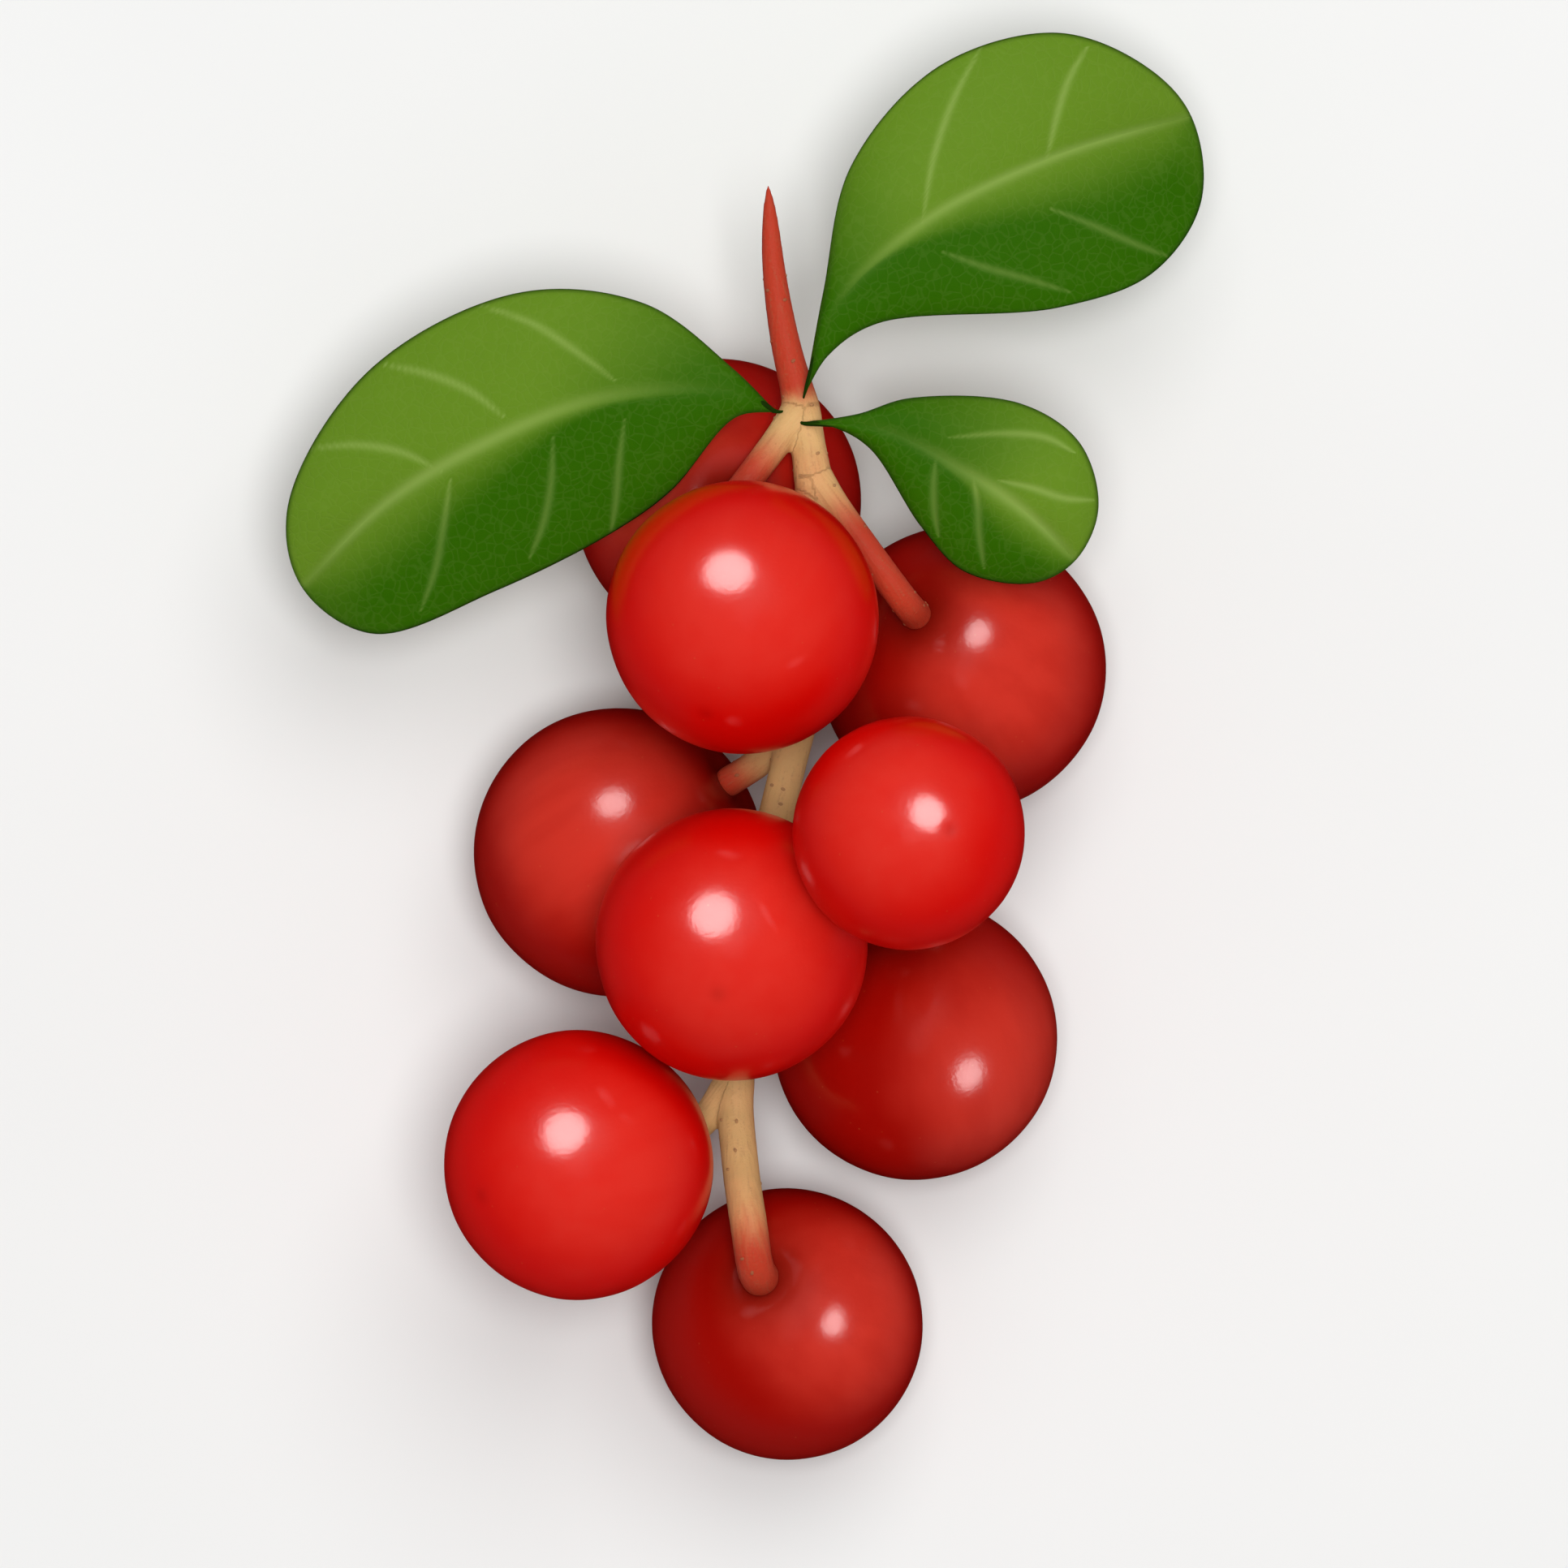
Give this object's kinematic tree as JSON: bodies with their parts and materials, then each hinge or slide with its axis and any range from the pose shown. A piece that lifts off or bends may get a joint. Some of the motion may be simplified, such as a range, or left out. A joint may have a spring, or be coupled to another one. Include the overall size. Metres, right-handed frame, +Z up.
{
  "type": "berry spray on a branched stalk",
  "caption": "Cut spray of round glossy red fruits on one branched stalk with blunt green leaves, lying on its side; a small natural prop for tables, baskets and garnish.",
  "frame": {"origin": "middle of the spray's bounding box in plan, on the surface that it lies on", "axes": "+Z up from the surface, +Y along the spray towards the cut, pointed end of the stalk, +X across it towards the two right-hand leaves"},
  "size_m": [0.0396, 0.0616, 0.0279],
  "materials": {
    "fruit_bright": "smooth glossy ripe skin, bright red",
    "fruit_deep": "smooth glossy ripe skin, deep red",
    "stalk": "green-wood stalk, pale tan going red at the tip and at the fruit ends",
    "leaf": "satin leathery leaf, paler along its veins"
  },
  "bodies": {
    "root": {"stalk": "stalk", "fruit_top_back": "fruit_deep", "fruit_right_back": "fruit_deep", "fruit_left_back": "fruit_deep", "fruit_lower_right_back": "fruit_deep", "fruit_bottom": "fruit_deep", "fruit_top_front": "fruit_bright", "fruit_middle_front": "fruit_bright", "fruit_right_front": "fruit_bright", "fruit_lower_left_front": "fruit_bright", "leaf_left": "leaf", "leaf_upper_right": "leaf", "leaf_right": "leaf"}
  },
  "joints": []
}
